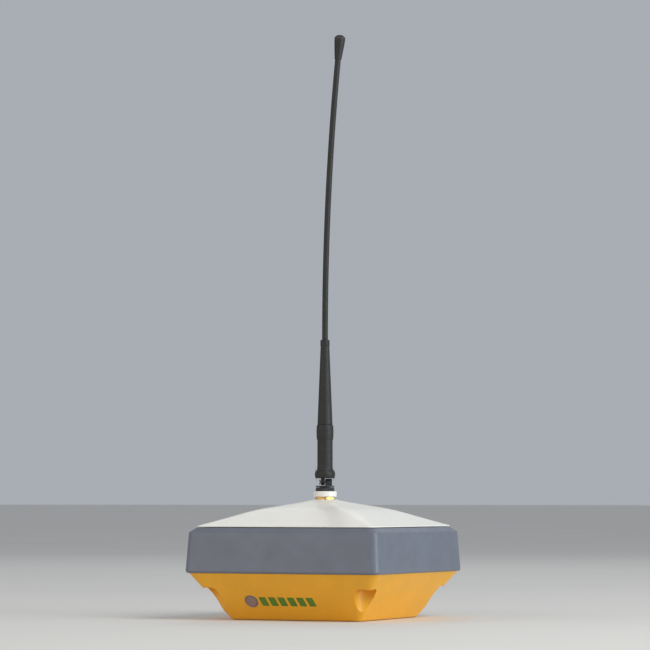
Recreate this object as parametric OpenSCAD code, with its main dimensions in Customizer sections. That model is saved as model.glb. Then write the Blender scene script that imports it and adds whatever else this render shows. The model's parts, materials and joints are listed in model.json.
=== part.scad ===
// Pole-top satellite positioning receiver with a folding whip antenna.
// Origin: centre of the flat base, on the axis of the pole thread. +Z is up, the indicator face is -Y.

/* [Housing] */
// Width of the square body across the bumper band
body_w = 150; // [148:1:154]
// Width of the flat square base
base_w = 101; // [99:1:103]
// Height of the tapered lower housing
low_h = 33; // [33:1:35]
// Height of the bumper band
band_h = 32; // [32:1:34]
// Rise of the roof from the band to the foot of the antenna neck
roof_h = 19.4; // [19:0.1:20.4]
// Height of the brass collar above the roof
collar_h = 1.9; // [1.6:0.1:4]
// Wall thickness of the housings
wall = 2.8; // [2.4:0.1:2.8]
// Radius of the upright corner edges
corner_r = 5; // [4:0.5:6]

/* [Pole socket] */
// Radius of the threaded wall of the 5/8 inch socket
socket_r = 6.8; // [6.7:0.05:6.95]
// Depth of the pole socket
socket_depth = 17; // [14:1:17]

/* [Indicators] */
// Spacing of the indicator windows
led_pitch = 7.3; // [7:0.1:7.6]
// Number of indicator windows
led_count = 6; // [3:1:6]
// Diameter of the power button
button_d = 8.5; // [8:0.1:9]

/* [Whip antenna] */
// Turn of the antenna's elbow about the upright axis, as screwed on
antenna_turn = 25; // [0:5:90]
// Length of the rubber sleeve
sleeve_len = 61; // [56:1:66]
// Length of the bare whip above the sleeve
rod_len = 204; // [150:2:220]
// Sideways set of the whip at its upper end
rod_bend = 9.5; // [0:0.5:12]
// Radius of the whip rod
rod_r = 2.1; // [1.8:0.1:2.2]

/* [Hidden] */
$fn = 48;
hull_fn = 32;
level_t = 0.2;

// Housing outline
band_half = body_w / 2;
band_overhang = 1.8;
low_half = band_half - band_overhang;
base_half = base_w / 2;
band_z = low_h;
roof_z = low_h + band_h;
collar_z = roof_z + roof_h + level_t;
collar_top = collar_z + collar_h;
neck_z = collar_top + 4.1;
face_tilt = atan((low_half - base_half) / low_h);
wall_side = wall / cos(face_tilt);
band_inner = band_half - 6.4;
ledge_inner = band_inner - 3.2;
ledge_t = 4;
bevel_h = 3.4;
band_top_half = band_half - 5.8;
roof_half = band_half - 5.9;
// Roof rows: half width of the level, height above the band
roof_rows = [
    [roof_half, 0], [roof_half, 0.8], [40, 0.608 * roof_h], [28, 0.768 * roof_h], [9, roof_h]
];
roof_wall = 2.6;
gasket_t = 1.2;
gasket_w = 1.4;
gap = 0.1;

// Corner screws
screw_at = base_half + 10;
boss_r = 8;
lug_r = 4.5;
lug_top = 54.8;
head_seat = 27.6;
head_well_r = 3.5;
// Run of the roof's edge for each unit it rises
roof_run = 2.9;
boss_top = roof_z + 0.9 + (roof_half - screw_at - lug_r) / roof_run;
thread_end = 65.4;

// Arched niches at the lower corners, under the screws
niche_at = base_half + 8.5;
niche_r = 7.5;
niche_top = 23;
niche_wall = 2;

// Neck and jack
neck_r = 8.5;
neck_foot_r = 11;
collar_r = 7.6;
ring_well_r = 7;
ring_out_r = 8.4;
core_z = neck_z - 6.5;
jack_r = 5;
jack_top = neck_z - 0.2;
jack_bottom = roof_z + 12;

// Pole insert
insert_r = 12;
insert_h = 20;
flange_r = 17.5;
flange_t = 2.4;
insert_screw_r = 14.8;

// Front indicators, measured up the sloping face
row_up = 15.9;
button_x = -28.8;
led_x = -19;
window_w = 5;
window_h = 7.2;
window_lean = 0.9;
button_r = button_d / 2;
board_depth = 8.6;
pcb_t = 1.6;

// Rear ports
port_up = 16;
port_x = 16;
port_r = 6;
port_bore = 4.6;
port_proud = 0.8;
plate_w = 63.6;
plate_l = 23.6;
plate_t = 2;
pad_t = 3;
cap_hinge_y = 10;
cap_hinge_z = 2;
cap_pin_r = 0.75;
cap_r = 7.2;

// Card compartment on the left face
door_up = 17;
door_w = 40;
door_l = 21;
door_t = 2;
door_hinge_y = 10;
door_pin_r = 0.6;
door_fit = 0.3;
bay_w = 34;
bay_l = 14;
bay_end = 12;

// Electronics
board_z = 30;
board_half = 52;
post_at = 44;
chassis_z = 44;
ground_z = 52;
puck_h = 10;
notch_at = 52;

// Battery
cell_r = 9.1;
cell_len = 65;
cell_y = 30;
cell_z = 13.6;

// Antenna, from the neck upward
nut_r = 6.7;
nut_z = neck_z - 2.2;
nut_top = neck_z + 2.7;
deck_z = neck_z + 3;
deck_top = neck_z + 3.9;
pivot_z = deck_top + 2.6;
ring_z = pivot_z + 2.6;
ring_h = 6.3;
ring_r = 7.3;
stem_r = 3.92;
ear_r = 2.3;
pin_r = 0.95;
barrel_r = 5.5;
barrel_h = 32;
bulge_r = 6.1;
bulge_h = 10.8;
sleeve_z = ring_z + ring_h + barrel_h;
sleeve_tip_r = 3.2;
rod_z = sleeve_z - 20;
rod_top = sleeve_z + sleeve_len + rod_len;
tip_len = 18;
tip_r = 3.9;

// Half width of the lower housing at a height
function low_half_at(z) = base_half + (low_half - base_half) * z / low_h;

// Sideways place of the whip's centre at a height
function rod_x(z) =
    let (above = max(z - sleeve_z - sleeve_len, 0)) rod_bend * pow(above / rod_len, 2);

module corners(at) {
    for (sx = [-1, 1], sy = [-1, 1]) translate([sx * at, sy * at, 0]) children();
}

// Thin rounded square, for the levels of a hull
module level(half, r, z) {
    translate([0, 0, z]) corners(half - r) cylinder(r = r, h = level_t, $fn = hull_fn);
}

module rounded_square(half, r) {
    square([2 * (half - r), 2 * half], center = true);
    square([2 * half, 2 * (half - r)], center = true);
    corners(half - r) circle(r);
}

module square_ring(half, width, r, h) {
    linear_extrude(h) difference() {
        rounded_square(half, r);
        rounded_square(half - width, r - width / 2);
    }
}

module slab(size, z) {
    translate([-size[0] / 2, -size[1] / 2, z]) cube(size);
}

// Places its children on a sloping face of the lower housing: X along it, Y up it, Z out of it
module on_face(turn, along, up) {
    rotate([0, 0, turn])
        translate([along, -(base_half + up * sin(face_tilt)), up * cos(face_tilt)])
            rotate([90 + face_tilt, 0, 0]) children();
}

module along_x(from, to, r) {
    translate([from, 0, 0]) rotate([0, 90, 0]) cylinder(r = r, h = to - from);
}

module tube(r, bore, h) {
    difference() {
        cylinder(r = r, h = h);
        translate([0, 0, -1]) cylinder(r = bore, h = h + 2);
    }
}

// Screw with its head's seat at z = 0, shank downward
module screw(head_r, head_h, shank_r, len) {
    difference() {
        cylinder(r = head_r, h = head_h);
        translate([0, 0, head_h * 0.45]) cylinder(r = head_r * 0.5, h = head_h, $fn = 6);
    }
    translate([0, 0, -len]) cylinder(r = shank_r, h = len + 0.01);
}

module notched_plate(half, notch, t) {
    linear_extrude(t) difference() {
        square(2 * half, center = true);
        corners(notch + half / 2) square(half, center = true);
    }
}

module window_shape(grow) {
    w = window_w / 2 + grow;
    h = window_h / 2 + grow;
    polygon([
        [-w - window_lean, h], [w - window_lean, h], [w + window_lean, -h], [-w + window_lean, -h]
    ]);
}

module on_windows() {
    for (i = [0 : led_count - 1]) translate([led_x + i * led_pitch, 0, 0]) children();
}

// ---- Outer casings ----

module radome() {
    color("white") difference() {
        union() {
            difference() {
                hull() for (row = roof_rows) level(row[0], corner_r, roof_z + row[1]);
                hull() for (row = roof_rows)
                    level(row[0] - 3, corner_r - 2, roof_z + max(row[1] - roof_wall, -0.1));
            }
            translate([0, 0, roof_z + roof_h - 3])
                cylinder(r1 = neck_foot_r, r2 = neck_r, h = collar_z - roof_z - roof_h + 3);
            corners(screw_at) translate([0, 0, lug_top + 0.2])
                cylinder(r = lug_r, h = boss_top - lug_top - 0.2);
        }
        translate([0, 0, roof_z]) cylinder(r = jack_r + gap, h = roof_h + 1);
        corners(screw_at) translate([0, 0, lug_top]) cylinder(r = 1.7, h = thread_end - lug_top + 0.5);
    }
}

module bumper_band() {
    color("slategray") difference() {
        union() {
            difference() {
                hull() {
                    level(band_half - 0.8, corner_r, band_z);
                    level(band_half, corner_r, band_z + 0.8);
                    level(band_half - 1.7, corner_r, roof_z - bevel_h - level_t);
                    level(band_top_half, corner_r, roof_z - level_t);
                }
                translate([0, 0, band_z - 1])
                    linear_extrude(band_h + 1 - ledge_t) rounded_square(band_inner, corner_r - 2);
                translate([0, 0, band_z])
                    linear_extrude(band_h + 1) rounded_square(ledge_inner, corner_r - 2);
            }
            corners(screw_at) translate([0, 0, band_z]) cylinder(r = lug_r, h = lug_top - band_z);
            for (a = [45 : 90 : 315]) rotate([0, 0, a])
                translate([screw_at * sqrt(2) + 3, -1.5, band_z])
                    cube([(band_inner - screw_at) * sqrt(2) - 2, 3, lug_top - band_z - 1]);
            for (a = [0 : 90 : 270]) rotate([0, 0, a])
                translate([-8, -band_inner - 1, chassis_z - 4]) cube([16, 11.4, 4]);
        }
        translate([0, 0, roof_z - gasket_t])
            square_ring(ledge_inner + 2.6, gasket_w, corner_r, gasket_t + 1);
        translate([0, 0, band_z - 1])
            square_ring(band_inner + 3.3, gasket_w, corner_r, gasket_t + 1);
        corners(screw_at) translate([0, 0, band_z - 1]) cylinder(r = 1.9, h = band_h);
        for (a = [0 : 90 : 270]) rotate([0, 0, a])
            translate([0, -62, chassis_z - 3.6]) cylinder(r = 1.15, h = 5);
    }
}

module lower_housing() {
    color("goldenrod") difference() {
        union() {
            difference() {
                hull() {
                    level(base_half, corner_r, 0);
                    level(low_half, corner_r, low_h - level_t);
                }
                hull() {
                    level(low_half_at(wall) - wall_side, corner_r - 2, wall);
                    level(low_half - wall_side, corner_r - 2, low_h);
                }
            }
            intersection() {
                union() {
                    corners(screw_at) cylinder(r = boss_r, h = low_h);
                    corners(niche_at) cylinder(r = niche_r + niche_wall, h = niche_top + niche_wall);
                }
                hull() {
                    level(base_half, corner_r, 0);
                    level(low_half, corner_r, low_h - level_t);
                }
            }
            cylinder(r = flange_r + 0.9, h = 9);
            on_face(180, 0, port_up) slab([plate_w + 6, plate_l + 2, pad_t + 0.5], -wall - pad_t);
            on_face(-90, 0, door_up) slab([door_w + 8, door_l + 4, pad_t + 0.5], -wall - pad_t);
        }
        corners(niche_at) translate([0, 0, -1]) cylinder(r = niche_r, h = niche_top + 1);
        corners(screw_at) {
            translate([0, 0, niche_top / 2]) cylinder(r = head_well_r, h = head_seat - niche_top / 2);
            cylinder(r = 1.9, h = low_h + 1);
        }
        translate([0, 0, -1]) cylinder(r = insert_r + gap, h = 12);
        translate([0, 0, -1]) cylinder(r = flange_r + gap, h = flange_t + 1);
        for (a = [90, 210, 330]) rotate([0, 0, a])
            translate([insert_screw_r, 0, 0]) cylinder(r = 1.25, h = 8);
        translate([0, -33, -1]) linear_extrude(1.4) square([44.2, 16.2], center = true);
        on_face(0, 0, row_up) {
            translate([button_x, 0, -5]) cylinder(r = button_r + 0.75, h = 8);
            on_windows() translate([0, 0, -5]) linear_extrude(8) window_shape(gap);
        }
        on_face(180, 0, port_up) {
            slab([plate_w + 0.4, plate_l + 0.4, 4], -plate_t - 0.05);
            for (x = [-port_x, port_x]) translate([x, 0, -8]) cylinder(r = port_r + gap, h = 8);
            port_screw_places() translate([0, 0, -5.5]) cylinder(r = 1.15, h = 5);
        }
        on_face(-90, 0, door_up) {
            translate([-door_w / 2 - door_fit, -door_l / 2 - 1, -door_t - 0.25])
                cube([door_w + 2 * door_fit, door_l + 1.9, 4]);
            translate([-6, -door_l / 2 - 2.6, -1.4]) cube([12, 3, 4]);
            slab([bay_w, bay_l, 8], -8);
            translate([0, door_hinge_y, -1])
                along_x(-door_w / 2 - 2.4, door_w / 2 + 2.4, door_pin_r + 0.02);
        }
    }
}

module body_gaskets() {
    color("dimgray") {
        translate([0, 0, roof_z - gasket_t])
            square_ring(ledge_inner + 2.6 - 0.02, gasket_w - 0.04, corner_r, gasket_t);
        translate([0, 0, band_z])
            square_ring(band_inner + 3.3 - 0.02, gasket_w - 0.04, corner_r, gasket_t);
    }
}

module housing_screws() {
    color("gray") corners(screw_at) translate([0, 0, head_seat]) mirror([0, 0, 1])
        screw(3.2, 3.2, 1.6, thread_end - head_seat);
}

// ---- Base ----

module pole_insert() {
    color("darkkhaki") difference() {
        union() {
            cylinder(r = flange_r, h = flange_t);
            cylinder(r = insert_r, h = insert_h);
        }
        translate([0, 0, -1]) cylinder(r = socket_r, h = socket_depth + 1);
        for (a = [90, 210, 330]) rotate([0, 0, a]) translate([insert_screw_r, 0, -1]) {
            cylinder(r = 1.25, h = 5);
            cylinder(r = 2.3, h = 2.4);
        }
    }
}

module insert_screws() {
    color("gray") for (a = [90, 210, 330]) rotate([0, 0, a])
        translate([insert_screw_r, 0, 1.4]) mirror([0, 0, 1]) screw(2.1, 1.2, 1.2, 6.2);
}

module rating_plate() {
    color("gainsboro") translate([0, -33, 0.05]) linear_extrude(0.35) square([44, 16], center = true);
}

// ---- Front indicators ----

module power_button() {
    color("rosybrown") on_face(0, button_x, row_up) {
        translate([0, 0, -3.2]) cylinder(r = button_r - 0.1, h = 3.7);
        translate([0, 0, -4]) cylinder(r = button_r + 0.5, h = 0.85);
    }
}

module button_bezel() {
    color("slategray") on_face(0, button_x, row_up) translate([0, 0, -2.8])
        tube(button_r + 0.65, button_r, 3.1);
}

module button_seal() {
    color("dimgray") on_face(0, button_x, row_up) translate([0, 0, -5.6])
        cylinder(r = button_r + 0.9, h = 0.5);
}

module light_guide() {
    color("limegreen") on_face(0, 0, row_up) {
        on_windows() translate([0, 0, -4]) linear_extrude(4.15) window_shape(0);
        translate([led_x - 4.1, -4.6, -4.4]) cube([(led_count - 1) * led_pitch + 8.6, 9.2, 1.5]);
        on_windows() translate([-1.5, -1.5, -7.2]) cube([3, 3, 3]);
    }
}

module led_board() {
    color("darkgreen") on_face(0, 0, row_up)
        slab([64, 14, pcb_t], -board_depth - pcb_t);
}

module led_chips() {
    color("lightyellow") on_face(0, 0, row_up) on_windows()
        slab([3.2, 2.8, 1.2], -board_depth);
}

module tact_switch() {
    color("silver") on_face(0, button_x, row_up) {
        slab([6, 6, 1.6], -board_depth);
        translate([0, 0, -7.1]) cylinder(r = 1.6, h = 1.2);
    }
}

// ---- Rear ports ----

module port_screw_places() {
    for (x = [-1, 1], y = [-1, 1])
        translate([x * (plate_w / 2 - 3), y * (plate_l / 2 - 3), 0]) children();
}

module cap_lugs() {
    for (x = [-port_x, port_x], side = [-1, 1])
        translate([x + side * 4.3 - 0.8, cap_hinge_y - 1.5, -1]) cube([1.6, 3, cap_hinge_z + 1]);
    for (x = [-port_x, port_x], side = [-1, 1]) translate([x + side * 4.3, cap_hinge_y, cap_hinge_z])
        along_x(-0.8, 0.8, 1.5);
}

module port_plate() {
    color("dimgray") on_face(180, 0, port_up) difference() {
        union() {
            slab([plate_w, plate_l, plate_t], -plate_t);
            cap_lugs();
        }
        for (x = [-port_x, port_x]) translate([x, 0, -3]) cylinder(r = port_r + gap, h = 5);
        for (x = [-port_x, port_x]) translate([x, cap_hinge_y, cap_hinge_z])
            along_x(-6, 6, cap_pin_r);
        port_screw_places() translate([0, 0, -3]) {
            cylinder(r = 1.25, h = 5);
            translate([0, 0, 1.9]) cylinder(r = 2.2, h = 3);
        }
    }
}

module port_plate_screws() {
    color("gray") on_face(180, 0, port_up) port_screw_places()
        translate([0, 0, -1.1]) screw(2.1, 1.1, 1.1, 4.2);
}

module port_shell(x) {
    color("silver") on_face(180, x, port_up) translate([0, 0, -15]) difference() {
        cylinder(r = port_r, h = 15 + port_proud);
        translate([0, 0, 9]) cylinder(r = port_bore, h = 10);
    }
}

module power_port() {
    port_shell(port_x);
}

module data_port() {
    port_shell(-port_x);
}

module port_nuts() {
    color("gray") on_face(180, 0, port_up) for (x = [-port_x, port_x])
        translate([x, 0, -wall - pad_t - 2.6]) difference() {
            cylinder(r = 8.4, h = 2.5, $fn = 6);
            translate([0, 0, -1]) cylinder(r = port_r + 0.05, h = 5);
        }
}

module port_cores() {
    color("black") on_face(180, 0, port_up) for (side = [-1, 1]) translate([side * port_x, 0, -6]) {
        pins = side > 0 ? 5 : 8;
        cylinder(r = port_bore - 0.05, h = 1.4);
        for (i = [0 : pins - 1]) rotate([0, 0, i * 360 / pins])
            translate([2.5, 0, 1]) cylinder(r = 0.45, h = 3.4, $fn = 16);
    }
}

module port_cap(x) {
    color("black") on_face(180, x, port_up) difference() {
        union() {
            translate([0, 0, port_proud + 0.2]) cylinder(r = cap_r, h = 2);
            translate([0, 0, -0.4]) cylinder(r = port_bore - 0.4, h = 2);
            translate([-3.1, 4, port_proud + 0.2]) cube([6.2, cap_hinge_y - 4, 2]);
            translate([0, cap_hinge_y, cap_hinge_z]) along_x(-3.1, 3.1, 1.45);
            translate([-4, -cap_r - 1.6, port_proud + 0.2]) cube([8, 4, 1.6]);
        }
        translate([0, cap_hinge_y, cap_hinge_z]) along_x(-5, 5, cap_pin_r + 0.05);
    }
}

module power_port_cap() {
    port_cap(port_x);
}

module data_port_cap() {
    port_cap(-port_x);
}

module cap_hinge_pins() {
    color("silver") on_face(180, 0, port_up) for (x = [-port_x, port_x])
        translate([x, cap_hinge_y, cap_hinge_z]) along_x(-5.1, 5.1, cap_pin_r);
}

// ---- Card compartment ----

module card_bay() {
    color("dimgray") on_face(-90, 0, door_up) difference() {
        slab([bay_w + 3, bay_l + 3, bay_end - wall - pad_t - gap], -bay_end);
        slab([bay_w, bay_l, bay_end], -bay_end + 1);
    }
}

module card_door() {
    color("darkgoldenrod") on_face(-90, 0, door_up) difference() {
        union() {
            translate([-door_w / 2, -door_l / 2, -door_t])
                cube([door_w, door_l / 2 + door_hinge_y, door_t]);
            translate([0, door_hinge_y, -1]) along_x(-door_w / 2, door_w / 2, 1);
        }
        translate([0, door_hinge_y, -1]) along_x(-door_w, door_w, door_pin_r + 0.05);
    }
}

module card_door_pin() {
    color("silver") on_face(-90, 0, door_up) translate([0, door_hinge_y, -1])
        along_x(-door_w / 2 - 2.3, door_w / 2 + 2.3, door_pin_r);
}

module door_seal() {
    color("dimgray") on_face(-90, 0, door_up) translate([0, 0, -wall - 1.2]) difference() {
        slab([bay_w - 0.1, bay_l - 0.1, 1.2], 0);
        slab([bay_w - 2.4, bay_l - 2.4, 4], -1);
    }
}

module sim_card() {
    color("ivory") on_face(-90, -8.6, door_up) slab([15, 12, 0.8], -bay_end + 1);
}

module memory_card() {
    color("black") on_face(-90, 8.6, door_up) slab([15, 11, 1], -bay_end + 1);
}

// ---- Electronics ----

module main_board() {
    color("darkgreen") translate([0, 0, board_z]) difference() {
        linear_extrude(pcb_t) square(2 * board_half, center = true);
        corners(post_at) translate([0, 0, -1]) cylinder(r = 1.4, h = 4);
    }
}

module standoffs() {
    color("silver") {
        corners(post_at) translate([0, 0, wall]) tube(3, 1.25, board_z - wall);
        corners(40) translate([0, 0, chassis_z + 1.5]) tube(3, 1.25, ground_z - chassis_z - 1.5);
    }
}

module inner_screws() {
    color("gray") {
        corners(post_at) translate([0, 0, board_z + pcb_t]) screw(2.3, 1.6, 1.2, 6);
        corners(40) translate([0, 0, ground_z + pcb_t]) screw(2.3, 1.6, 1.2, 6);
        for (a = [0 : 90 : 270]) rotate([0, 0, a])
            translate([0, -62, chassis_z + 1.5]) screw(2.3, 1.6, 1.1, 5);
        for (y = [-43, 43]) translate([0, y, cell_z + cell_r + 1.7]) screw(2.3, 1.6, 1.2, 7);
    }
}

module gnss_module() {
    color("silver") translate([30, 22, board_z + pcb_t]) slab([32, 36, 4], 0);
}

module cellular_module() {
    color("silver") translate([-34, -16, board_z + pcb_t]) slab([28, 34, 3], 0);
}

module radio_module() {
    color("gainsboro") translate([0, 0, board_z + pcb_t]) {
        difference() {
            slab([24, 44, 7], 0);
            for (y = [-18 : 4 : 18]) translate([-13, y - 0.6, 6]) cube([26, 1.2, 2]);
        }
        translate([0, 0, 6]) cylinder(r = 2.4, h = 3);
    }
}

module tilt_sensor() {
    color("black") translate([-34, 28, board_z + pcb_t]) slab([14, 14, 3.4], 0);
}

module buzzer() {
    color("black") translate([34, -34, board_z + pcb_t]) tube(6, 1, 4.5);
}

module power_coils() {
    color("dimgray") for (x = [18, 28], y = [-16, -6])
        translate([x + 4, y, board_z + pcb_t]) slab([7, 7, 3.6], 0);
}

module chassis_plate() {
    color("silver") translate([0, 0, chassis_z]) difference() {
        notched_plate(65, notch_at, 1.5);
        translate([0, 0, -1]) cylinder(r = 6, h = 4);
        for (a = [0 : 90 : 270]) rotate([0, 0, a]) translate([0, -62, -1]) cylinder(r = 1.3, h = 4);
        corners(40) translate([0, 0, -1]) cylinder(r = 1.25, h = 4);
    }
}

module ground_plane() {
    color("peru") translate([0, 0, ground_z]) difference() {
        notched_plate(57, notch_at, pcb_t);
        translate([0, 0, -1]) cylinder(r = 5, h = 4);
        corners(40) translate([0, 0, -1]) cylinder(r = 1.4, h = 4);
    }
}

module antenna_puck() {
    color("ivory") translate([0, 0, ground_z + pcb_t]) tube(42, 5, puck_h);
}

module antenna_patch() {
    color("gold") translate([0, 0, ground_z + pcb_t + puck_h]) difference() {
        tube(38, 9, 0.5);
        for (a = [45 : 90 : 315]) rotate([0, 0, a]) translate([24, -1, -1]) cube([12, 2, 3]);
    }
}

module amplifier_shield() {
    color("silver") translate([28, 0, 0]) slab([36, 30, 5.6], ground_z - 5.6);
}

module wireless_antenna() {
    color("darkgreen") translate([-band_inner, -15, 50]) cube([1, 30, 8]);
}

// ---- Battery ----

module cell_shapes(r) {
    for (y = [-cell_y, cell_y]) translate([0, y, cell_z]) along_x(-cell_len / 2, cell_len / 2, r);
}

module battery_cells() {
    color("steelblue") cell_shapes(cell_r);
}

module battery_cradle() {
    color("dimgray") difference() {
        union() {
            for (y = [-cell_y, cell_y]) translate([0, y, 0]) slab([cell_len + 4, 19.4, 8], wall);
            for (x = [-32, 32]) translate([x, 0, 0]) slab([4, 2 * cell_y, 3], wall);
            for (y = [-43, 43]) translate([0, y, 0]) {
                translate([0, 0, wall]) cylinder(r = 2.8, h = cell_z + cell_r + 0.1 - wall);
                slab([3, 9, 4], wall);
            }
        }
        cell_shapes(cell_r + gap);
        for (y = [-43, 43]) translate([0, y, wall + 4]) cylinder(r = 1.25, h = 30);
    }
}

module battery_clamp() {
    color("silver") translate([0, 0, cell_z + cell_r + 0.2]) difference() {
        slab([16, 92, 1.5], 0);
        for (y = [-43, 43]) translate([0, y, -1]) cylinder(r = 1.3, h = 4);
    }
}

// ---- Antenna connector ----

module coax_pigtail() {
    color("saddlebrown") {
        translate([0, 0, board_z + pcb_t + 9]) cylinder(r = 2.2, h = 3);
        translate([0, 0, board_z + pcb_t + 9])
            cylinder(r = 1.3, h = jack_bottom - board_z - pcb_t - 6, $fn = 24);
        translate([0, 0, jack_bottom - 3]) cylinder(r = 2.4, h = 6);
    }
}

module antenna_jack() {
    color("silver") difference() {
        union() {
            translate([0, 0, jack_bottom]) cylinder(r = jack_r, h = jack_top - jack_bottom);
            translate([0, 0, collar_z]) cylinder(r = collar_r, h = collar_h - 0.4, $fn = 6);
            translate([0, 0, collar_z]) cylinder(r = 6.6, h = collar_h);
        }
        translate([0, 0, core_z]) cylinder(r = 4, h = 10);
        translate([0, 0, jack_bottom - 1]) cylinder(r = 2.5, h = core_z - jack_bottom + 2);
    }
}

module jack_nut() {
    color("gray") translate([0, 0, roof_z + roof_h - 6.8]) difference() {
        cylinder(r = 8, h = 3.4, $fn = 6);
        translate([0, 0, -1]) cylinder(r = jack_r + 0.05, h = 6);
    }
}

module jack_core() {
    color("gold") {
        translate([0, 0, jack_bottom + 3.1]) cylinder(r = 2.4, h = core_z - jack_bottom - 3.1);
        translate([0, 0, core_z - 0.1]) cylinder(r = 0.8, h = 6.2);
    }
}

module weather_ring() {
    color("white") translate([0, 0, collar_top]) difference() {
        cylinder(r = ring_out_r, h = neck_z - collar_top - 0.1);
        translate([0, 0, -1]) cylinder(r = jack_r + gap, h = 10);
        translate([0, 0, 1.6]) cylinder(r = ring_well_r, h = 10);
    }
}

// ---- Whip antenna, in the frame of its elbow ----

module on_antenna() {
    rotate([0, 0, antenna_turn]) children();
}

module coupling_nut() {
    color("dimgray") difference() {
        union() {
            translate([0, 0, nut_z]) cylinder(r = nut_r - 0.3, h = nut_top - nut_z);
            for (z = [nut_z : 2.2 : nut_top - 1.5]) translate([0, 0, z]) cylinder(r = nut_r, h = 1.5);
        }
        translate([0, 0, nut_z - 1]) cylinder(r = jack_r + gap, h = jack_top - nut_z + 1.4);
        translate([0, 0, jack_top + 0.3]) cylinder(r = 5.8, h = 1.6);
        translate([0, 0, jack_top]) cylinder(r = stem_r + 0.08, h = 10);
    }
}

module lower_knuckle() {
    color("black") on_antenna() difference() {
        union() {
            translate([0, 0, nut_z + 0.5]) cylinder(r = 3.6, h = deck_z - nut_z);
            translate([0, 0, jack_top + 0.6]) cylinder(r = stem_r, h = deck_z - jack_top);
            translate([0, 0, jack_top + 0.6]) cylinder(r = 5, h = 1);
            translate([0, 0, deck_z]) cylinder(r = nut_r - 0.1, h = deck_top - deck_z);
            translate([0, 0, pivot_z]) along_x(0.15, 5, ear_r);
            translate([0.15, -ear_r, deck_top - 0.2]) cube([4.85, 2 * ear_r, pivot_z - deck_top + 0.2]);
        }
        translate([0, 0, nut_z - 1]) cylinder(r = 1.2, h = 5);
        translate([0, 0, pivot_z]) along_x(-8, 8, pin_r);
    }
}

module elbow_pin() {
    color("silver") on_antenna() translate([0, 0, pivot_z]) {
        along_x(-3.6, 5.2, pin_r);
        along_x(-4.1, -3.2, 1.7);
    }
}

module whip_base() {
    color("black") on_antenna() difference() {
        union() {
            translate([0, 0, ring_z]) cylinder(r = ring_r, h = ring_h);
            translate([0, 0, ring_z]) cylinder(r = barrel_r, h = ring_h + barrel_h);
            translate([0, 0, pivot_z]) along_x(-2.9, -0.15, ear_r);
            translate([-2.9, -ear_r, pivot_z]) cube([2.75, 2 * ear_r, ring_z - pivot_z + 0.2]);
        }
        translate([-10, ear_r, ring_z - 1]) cube([20, 10, ring_h + 1]);
        translate([0, 0, pivot_z]) along_x(-8, 8, pin_r + 0.05);
        translate([0, 0, rod_z - 0.2]) cylinder(r = rod_r + 0.05, h = 40);
    }
}

module lock_ring() {
    color("black") on_antenna() translate([0, 0, sleeve_z - bulge_h])
        tube(bulge_r, barrel_r + 0.03, bulge_h);
}

module whip_sleeve() {
    color("black") on_antenna() translate([0, 0, sleeve_z]) difference() {
        cylinder(r1 = barrel_r - 0.1, r2 = sleeve_tip_r, h = sleeve_len);
        translate([0, 0, -1]) cylinder(r = rod_r + 0.05, h = sleeve_len + 2);
    }
}

// Rod that leans over along a parabola, and its cap in line with the rod's end
module whip() {
    sides = 12;
    rings = 24;
    straight = sleeve_z + sleeve_len;
    heights = concat([rod_z], [for (i = [0 : rings]) straight + rod_len * i / rings]);
    points = [for (z = heights, a = [0 : 360 / sides : 359])
        let (lean = atan(2 * rod_bend * max(z - straight, 0) / pow(rod_len, 2)))
        [rod_x(z) + rod_r * cos(a) * cos(lean), rod_r * sin(a), z - rod_r * cos(a) * sin(lean)]];
    last = len(heights) - 1;
    sides_faces = [for (i = [0 : last - 1], k = [0 : sides - 1]) let (n = (k + 1) % sides)
        [i * sides + k, (i + 1) * sides + k, (i + 1) * sides + n, i * sides + n]];
    bottom = [[for (k = [0 : sides - 1]) k]];
    top = [[for (k = [sides - 1 : -1 : 0]) last * sides + k]];
    color("black") on_antenna() {
        polyhedron(points, concat(bottom, sides_faces, top));
        translate([rod_bend, 0, rod_top]) rotate([0, atan(2 * rod_bend / rod_len), 0])
            translate([0, 0, -2]) cylinder(r1 = rod_r + 0.3, r2 = tip_r, h = tip_len);
    }
}

radome();
bumper_band();
lower_housing();
body_gaskets();
housing_screws();
pole_insert();
insert_screws();
rating_plate();
power_button();
button_bezel();
button_seal();
light_guide();
led_board();
led_chips();
tact_switch();
port_plate();
port_plate_screws();
power_port();
data_port();
port_nuts();
port_cores();
power_port_cap();
data_port_cap();
cap_hinge_pins();
card_bay();
card_door();
card_door_pin();
door_seal();
sim_card();
memory_card();
main_board();
standoffs();
inner_screws();
gnss_module();
cellular_module();
radio_module();
tilt_sensor();
buzzer();
power_coils();
chassis_plate();
ground_plane();
antenna_puck();
antenna_patch();
amplifier_shield();
wireless_antenna();
battery_cells();
battery_cradle();
battery_clamp();
coax_pigtail();
antenna_jack();
jack_nut();
jack_core();
weather_ring();
coupling_nut();
lower_knuckle();
elbow_pin();
whip_base();
lock_ring();
whip_sleeve();
whip();
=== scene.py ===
import json
import math

import bmesh
import bpy
from mathutils import Matrix, Vector


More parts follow.
